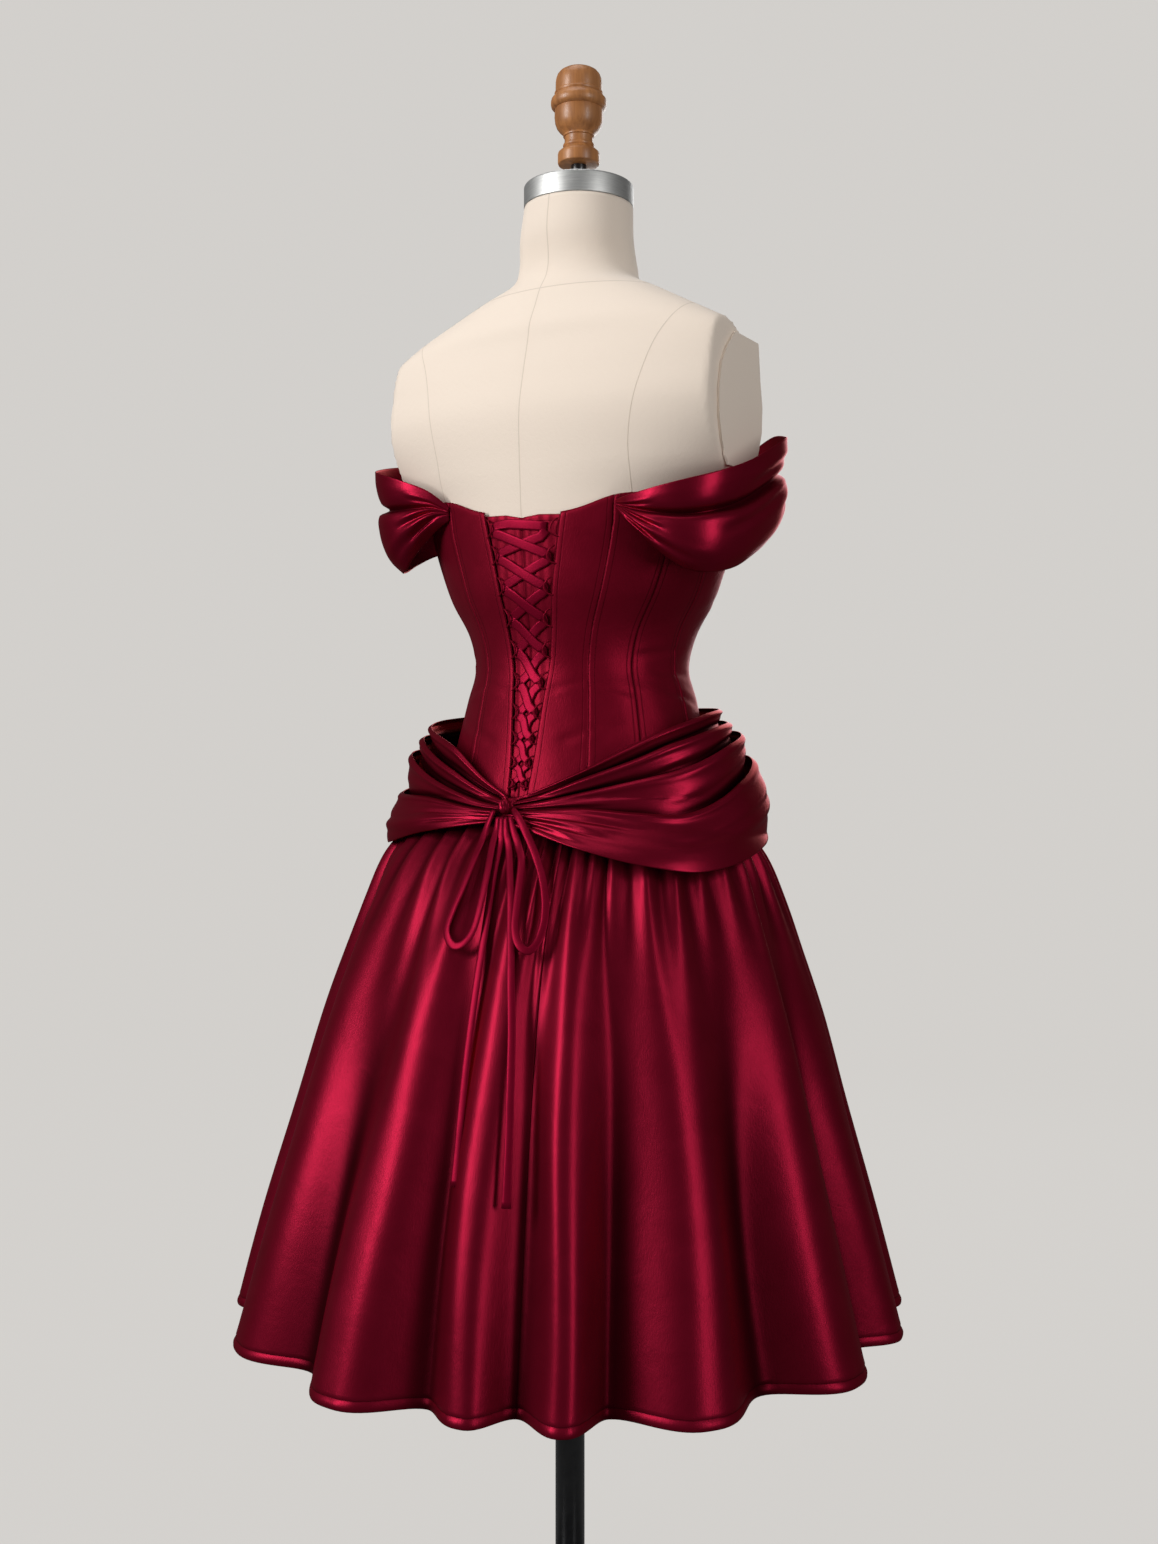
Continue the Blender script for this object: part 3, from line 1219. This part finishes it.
@dataclass
class Sash(Assembly):
    """The draped hip sash: four stacked folds and the knot where they meet."""

    reach: tuple[Place, ...] = ((157, 110, 134), (167, 114, 142), (182, 121.5, 152), (193, 125.5, 166))
    step: float = 2.65
    step_spread: float = 2.2
    wall: float = 1.8
    shell: float = 1.1
    lip_gap: float = 5.0
    tuck: float = 14.0
    tuck_at_knot: float = 3.0
    belly: float = 13.0
    bodice: float = 5.4
    spread_angle: float = 28.0
    pleat_angle: float = 17.0
    lip_dip: float = 3.6
    end_angle: float = 2.0
    knot: Place = (-7, 135.8, 897)
    knot_size: Place = (7.6, 5.2, 7.4)
    creases: Creases = (
        (3, 26, 40, 32, 1.5, 4.0), (-3, 28, -36, 34, 1.5, 4.0), (62, 34, 140, 28, 0.8, 5.0),
        (-66, 34, -140, 30, 0.8, 5.0),
    )
    outer_creases: Creases = (
        (3, 16, 44, 20, 2.2, 3.0), (3, 28, 34, 38, 2.6, 3.4), (5, 42, 26, 54, 2.0, 3.0),
        (-3, 16, -34, 26, 2.2, 3.0), (-3, 34, -28, 44, 2.2, 3.2), (60, 30, 130, 26, 1.3, 4.0),
        (-60, 30, -128, 24, 1.3, 4.0), (100, 44, 176, 40, 1.2, 4.2),
        (-100, 42, -170, 38, 1.2, 4.2),
    )

    def under(self, z: Grid, key: Grid) -> tuple[Grid, Grid]:
        """Gives how far out the dress reaches at heights.

        Args:
            z: Heights, in millimetres.
            key: True where a point is behind the centre line.

        Returns:
            The half width and the depth.
        """
        shift = FIGURE.read("centre", z) * np.where(key, 1, -1)
        high_half = FIGURE.read("half", z) + self.bodice
        high_depth = FIGURE.depth(key, z) + shift + self.bodice
        swell = SKIRT.read("lobe", z) * 0.6 + SKIRT.read("gather", z) / 2
        low_half = SKIRT.read("half", z) + swell
        low_depth = SKIRT.depth(key, z) + swell
        high = z > BODICE_BOTTOM
        return np.where(high, high_half, low_half), np.where(high, high_depth, low_depth)

    def spread(self, angle: Grid) -> Grid:
        """Gives how far the folds are spread: 0 at the knot, 1 away from it."""
        return np.minimum(from_back(angle) / self.spread_angle, 1)

    def tucked(self, angle: Grid) -> Grid:
        """Gives how deep each fold is tucked under the next."""
        return self.tuck_at_knot + (self.tuck - self.tuck_at_knot) * self.spread(angle)

    def lip(self, fold: int, angle: Grid) -> Grid:
        """Gives how far down an upper fold the next one's lip lies, as a share of its depth.

        Args:
            fold: Its number, from 1 at the top.
            angle: Angles round the body.

        Returns:
            The shares.
        """
        seen = SASH.read(f"fold{fold}", angle) - SASH.read(f"fold{fold + 1}", angle)
        return seen / (seen + self.tucked(angle))

    def surface(self, fold: int, angle: Grid, share: Grid) -> Grid:
        """Finds points of one fold.

        Args:
            fold: Its number, from 1 at the top.
            angle: Angles round the body.
            share: From 0 at its top edge to 1 at its lower edge.

        Returns:
            The points.
        """
        half_reach, back_reach, front_reach = self.reach[fold - 1]
        is_outer = fold == len(self.reach)
        top = SASH.read(f"fold{fold}", angle)
        spread = self.spread(angle)
        below = SASH.read("hem" if is_outer else f"fold{fold + 1}", angle)
        below = below - (0 if is_outer else self.tucked(angle))
        z = top + (below - top) * share
        key = np.cos(np.radians(angle)) > 0
        clear = (self.step + self.step_spread * spread) * fold + self.wall
        depth_reach = np.where(key, back_reach, front_reach)
        if is_outer:
            belly_half = self.belly * np.sin(np.minimum(share * 1.15, 1) * math.pi / 2) * spread
            belly_depth = belly_half
        else:
            next_half, next_back, next_front = self.reach[fold]
            room = np.where(key, next_back - back_reach, next_front - front_reach)
            belly_half = max(next_half - half_reach - self.lip_gap, 0) * share
            belly_depth = np.maximum(room - self.lip_gap, 0) * share
        under_half, under_depth = self.under(z, key)
        half = np.maximum(half_reach + belly_half, under_half + clear)
        depth = np.maximum(depth_reach + belly_depth, under_depth + clear)
        decay = np.exp(-from_back(angle) / self.pleat_angle)
        depth_of_pleat, pleats = (2.3, 4) if is_outer else (1.3, 2)
        pleat = depth_of_pleat * decay * np.abs(np.sin(share * math.pi * pleats))
        band = share * (1.6 if is_outer else 1)
        roll = 2.4 * bell(band, 0.1, 0.09) - 1.6 * bell(band, 0, 0.04)
        turn = np.radians(angle)
        drape = np.sin(share * 8 + turn * 2 + fold) * np.sin(turn * 2 + fold * 2)
        if is_outer:
            under_turn = np.clip((share - 0.62) / 0.38, 0, 1) ** 1.5
            drape = drape - (2 + 13 * bell(angle, 304, 40)) * under_turn * spread
            drape = drape + 3.5 * bell(angle, 115, 45) * np.sin(share * math.pi)
        else:
            near_lip = np.clip((share - self.lip(fold, angle)) / 0.3 + 1, 0, 1)
            drape = drape - self.lip_dip * near_lip**2
        rise = pleat + (roll + drape) * np.clip(spread, 0.25, 1)
        return np.stack([-(half + rise) * np.sin(turn), (depth + rise) * np.cos(turn), z], -1)

    def fold(self, number: int, cut: Place, knots: Sequence[Piece]) -> None:
        """Args:
            number: The fold, from 1 at the top.
            cut: The width, length and area that it is cut to, in metres.
            knots: The pieces that go with it.
        """
        t = np.linspace(-1, 1, 281)
        eased = 0.5 + 0.5 * (0.75 * t + 0.25 * t**3)
        ring = self.end_angle + (360 - 2 * self.end_angle) * eased
        down = np.concatenate([[0, 0.02, 0.04, 0.07, 0.1, 0.13, 0.17, 0.22], np.linspace(0.28, 1, 26)])
        angle, share = lattice(ring, down)
        grid = self.surface(number, angle, share)
        is_outer = number == len(self.reach)
        rows = self.outer_creases if is_outer else self.creases
        lines = pressed(rows, np.where(angle > 180, angle - 360, angle), share * 60)
        grid = grid + Cloth("bare", grid, 1).normals() * lines[..., None]
        near = np.exp(-from_back(angle) / 14) * (1 - np.abs(np.sin(share * math.pi * 4)))
        under_lip = 0 if is_outer else np.clip((share - self.lip(number, angle)) / 0.16 + 1, 0, 1) ** 1.5
        shade = np.clip(1 - 0.92 * under_lip - 0.8 * near, DARKEST, 1)
        piece = Cloth(f"sash_fold_{number}_satin", grid, self.shell, marks={"fold_shade": shade}).build()
        self.wardrobe.dress(piece, Slot.DRESS, f"sash_fold_{number}", material=self.wardrobe.drape)

    def tie(self) -> Piece:
        """Makes the wrapped knot and gives it back."""
        turn, rise = lattice(np.radians(np.arange(0, 360, 7.5)), np.radians(np.linspace(-88, 88, 33)))
        wrap = 1 - 0.2 * np.abs(np.sin(3.5 * turn + 0.6 * np.sin(rise * 2))) * np.cos(rise)
        pinch = 1 - 0.08 * bell(rise, 0, 0.3)
        across, deep, high = self.knot_size
        x = across * np.cos(rise) * np.cos(turn) * wrap * pinch
        y = deep * np.cos(rise) * np.sin(turn) * wrap * pinch
        grid = np.stack([x, y, high * np.sin(rise)], -1) + self.knot
        piece = Cloth("knot_satin", grid, 1.0, wrap=True).build()
        return self.wardrobe.dress(piece, Slot.DRESS, "sash_knot", material=self.wardrobe.drape)

    def build(self) -> None:
        """Makes the four folds and the knot."""
        knot = self.tie()
        cuts = ((0.92, 0.036, 0.028), (0.96, 0.036, 0.0315), (1.02, 0.05, 0.0475), (1.1, 0.075, 0.0725))
        for number, cut in enumerate(cuts, 1):
            self.fold(number, cut, [knot] if number == len(cuts) else [])


@dataclass
class Sleeves(Assembly):
    """The two draped bands that lie off the shoulders."""

    wall: float = 1.1
    fold_at: float = 0.375
    fold_width: float = 0.028
    lift_tuck: float = 0.3
    creases: Creases = (
        (4, 46, 74, 62, 3.6, 4.0), (6, 58, 66, 86, 3.0, 4.4), (4, 30, 60, 24, 2.2, 3.4),
        (30, 74, 120, 92, 2.0, 5.0), (150, 58, 250, 48, 1.8, 5.0), (180, 24, 290, 20, 1.4, 4.4),
        (240, 66, 330, 42, 1.6, 4.6), (300, 30, 372, 26, 1.6, 3.8),
    )

    def surface(self, at: Grid, down: Grid, sign: int) -> Grid:
        """Finds points of a sleeve.

        Args:
            at: Places along it, as rows of its table.
            down: From 0 at its rim to 1 at its lower edge.
            sign: 1 on the wearer's left, -1 on the right.

        Returns:
            The points.
        """
        last = len(SLEEVE.rows) - 1
        ahead, behind = np.minimum(at + 0.3, last), np.maximum(at - 0.3, 0)
        run_x = SLEEVE.read("x", ahead) - SLEEVE.read("x", behind)
        run_y = SLEEVE.read("y", ahead) - SLEEVE.read("y", behind)
        length = np.hypot(run_x, run_y)
        lift = SLEEVE.read("left_lift", at) if sign > 0 else 0 * at
        top, bottom = SLEEVE.read("top", at) + lift, SLEEVE.read("bottom", at) + 0.6 * lift
        full = SLEEVE.read("full", at)
        out = SLEEVE_PROFILE.read("out", down) * full
        out = out + pressed(self.creases, at * 32, down * 100) * np.clip(full * 1.4, 0.3, 1)
        out = out - self.lift_tuck * lift * down * down
        x = SLEEVE.read("x", at) - run_y / length * out
        y = SLEEVE.read("y", at) + run_x / length * out
        return np.stack([sign * x, y, top + (bottom - top) * down], -1)

    def build(self) -> None:
        """Makes both sleeves."""
        for side, sign in (("left", 1), ("right", -1)):
            at, down = lattice(np.linspace(0, 12, 181), np.linspace(0, 1, 61))
            grid = self.surface(at, down, sign)
            crease = bell(down, self.fold_at, self.fold_width) * SLEEVE.read("full", at)
            shade = {"fold_shade": np.clip(1 - 0.8 * crease, DARKEST, 1)}
            piece = Cloth(f"sleeve_{side}_satin", grid, self.wall, marks=shade).build()
            self.wardrobe.dress(piece, Slot.DRESS, f"sleeve_{side}", material=self.wardrobe.drape)


@dataclass
class DressForm(Assembly):
    """The form: its jersey-covered torso and the flat ovals at its armholes."""

    neck_seam: float = 1415.0
    princess: Table = Table(("z", "across"), (
        (800, 80), (1219, 109), (1252, 111), (1303, 121), (1343, 133), (1377, 151), (1420, 170)))

    def build(self) -> None:
        """Makes the torso and gives the armhole plates their cover."""
        levels = np.concatenate([np.linspace(804, 1200, 60), np.linspace(1204, 1450, 84),
                                 np.linspace(1454, NECK_TOP, 16)])
        angle, z = lattice(np.arange(0, 360, 2.5), levels)
        grid = figure_point(angle, z, 0.0)
        x, y = grid[..., 0], grid[..., 1]
        behind = y > FIGURE.read("centre", z)
        on_body = z < self.neck_seam
        side = np.where(behind & on_body, np.abs(x) - self.princess.read("across", z), NO_SEAM)
        centre = np.where(behind, x - 2, NO_SEAM)
        stitching = np.stack([side, centre, z - self.neck_seam], -1)
        index = np.arange(z.size).reshape(z.shape)
        nxt = np.roll(index, -1, 0)
        quads = np.stack([index[:, :-1], index[:, 1:], nxt[:, 1:], nxt[:, :-1]], -1).reshape(-1, 4)
        faces = quads.tolist() + [index[:, 0].tolist(), index[::-1, -1].tolist()]
        piece = link_mesh("form_cover", grid.reshape(-1, 3), faces, Cloth("flat", grid, 1).lengths(),
                          {"stitching": stitching.reshape(-1, 3)}, flat_ends=2)
        self.wardrobe.dress(piece, Slot.COVER, "form_torso")
        for side_name in ("left", "right"):
            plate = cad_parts[f"armhole_plate_{side_name}"]
            plate.data.materials.clear()
            plate.data.materials.append(self.wardrobe.plate_cover)


@dataclass
class Stand(Assembly):
    """The pole with its base, and the cap and finial on the neck, all turned pieces."""

    segments: int = 64
    base: Profile = (
        (0.5, 0), (193.5, 0), (194.6, 0.6), (195, 1.6), (195, 4.4), (194.6, 5.4), (193.5, 6),
        (0.5, 6),
    )
    collar: Profile = (
        (0.5, 6.3), (33.6, 6.3), (34, 7), (33.6, 11.5), (31.5, 14.2), (26, 18), (24, 21),
        (22.4, 46), (21.6, 52), (19.6, 55.4), (18.6, 56), (0.5, 56),
    )
    pole: Profile = ((0.5, 56.3), (14.7, 56.3), (15, 56.8), (15, 803.2), (14.7, 803.7), (0.5, 803.7))
    cap: Profile = (
        (0.5, 1515), (56.6, 1515), (57, 1515.5), (57, 1535), (56.8, 1536), (56.2, 1536.7),
        (55.2, 1537), (30, 1537), (0.5, 1537),
    )
    rod: Profile = ((0.5, 1537.3), (8, 1537.3), (8, 1560.2), (0.5, 1560.2))
    finial: Profile = (
        (0.5, 1560.5), (19.4, 1560.5), (21.2, 1561.4), (21.8, 1563), (21.8, 1571.4),
        (21.3, 1573.2), (19.4, 1575), (16.8, 1577), (15.6, 1578.6), (16.2, 1579.4), (16.4, 1580.6),
        (16.1, 1581.8), (14.9, 1582.6), (14.7, 1586), (14.9, 1589.4), (16.1, 1590), (16.3, 1591),
        (16.0, 1592), (17.2, 1593.4), (20.2, 1596), (22.8, 1599.4), (24.5, 1604), (25.2, 1610),
        (25.1, 1615), (24.7, 1618), (26.4, 1618.8), (28.4, 1620.8), (29, 1623.4), (29, 1626),
        (28.3, 1628.6), (26.2, 1631), (24.9, 1632.6), (24.7, 1633.2), (25.2, 1634), (25.2, 1635.4),
        (24.6, 1636.2), (24.0, 1636.8), (24.1, 1641), (24.0, 1646), (23.5, 1650), (22.2, 1653.8),
        (19.8, 1656.8), (16.2, 1659), (11.4, 1660.4), (6, 1660.9), (0.5, 1661),
    )

    def turn(self, name: str, profile: Profile, centre_y: float) -> Piece:
        """Turns one piece: a disc is extruded up its axis, and each new edge is scaled to its radius.

        Args:
            name: The new object's name.
            profile: Radii and heights from its underside to its top.
            centre_y: Where its axis stands.

        Returns:
            The new object.
        """
        bpy.ops.object.select_all(action="DESELECT")
        radius, height = profile[0]
        axis = (0.0, centre_y * MM)
        bpy.ops.mesh.primitive_circle_add(vertices=self.segments, radius=radius * MM, fill_type="NGON",
                                          location=(*axis, height * MM))
        piece = bpy.context.object
        piece.name = piece.data.name = name
        bpy.ops.object.mode_set(mode="EDIT")
        bpy.ops.mesh.select_all(action="SELECT")
        for next_radius, next_height in profile[1:]:
            rise = (next_height - height) * MM
            bpy.ops.mesh.extrude_region_move(TRANSFORM_OT_translate={"value": (0, 0, rise)})
            scale = next_radius / radius
            bpy.ops.transform.resize(value=(scale, scale, 1), center_override=(*axis, next_height * MM))
            radius, height = next_radius, next_height
        bpy.ops.mesh.select_all(action="SELECT")
        bpy.ops.mesh.normals_make_consistent(inside=False)
        bpy.ops.object.mode_set(mode="OBJECT")
        bpy.ops.object.transform_apply(location=True, rotation=True, scale=True)
        bpy.ops.object.shade_smooth_by_angle(angle=math.radians(32))
        return piece

    def build(self) -> None:
        """Makes every turned piece."""
        pieces = (("stand_base", "enamel", self.base, 0.0), ("base_collar", "enamel", self.collar, 0.0),
                  ("pole", "enamel", self.pole, 0.0), ("neck_cap", "steel", self.cap, NECK_CENTRE_Y),
                  ("finial_rod", "enamel", self.rod, NECK_CENTRE_Y),
                  ("finial", "wood", self.finial, NECK_CENTRE_Y))
        for name, finish, profile, centre_y in pieces:
            piece = self.turn(f"{name}_{finish}", profile, centre_y)
            self.wardrobe.dress(piece, Slot[finish.upper()], name)


def main() -> None:
    """Builds the scene from the camera and the ribbon to the stand."""
    logging.basicConfig(level=logging.INFO, format="%(name)s: %(message)s")
    studio = Studio()
    studio.place_camera()
    wardrobe = Wardrobe()
    wardrobe.build()
    for assembly in (Bow, Skirt, Bodice, Lacing, Sash, Sleeves, DressForm, Stand):
        assembly(wardrobe).build()
    studio.build_backdrop()
    studio.build_lights()


if __name__ == "__main__":
    main()
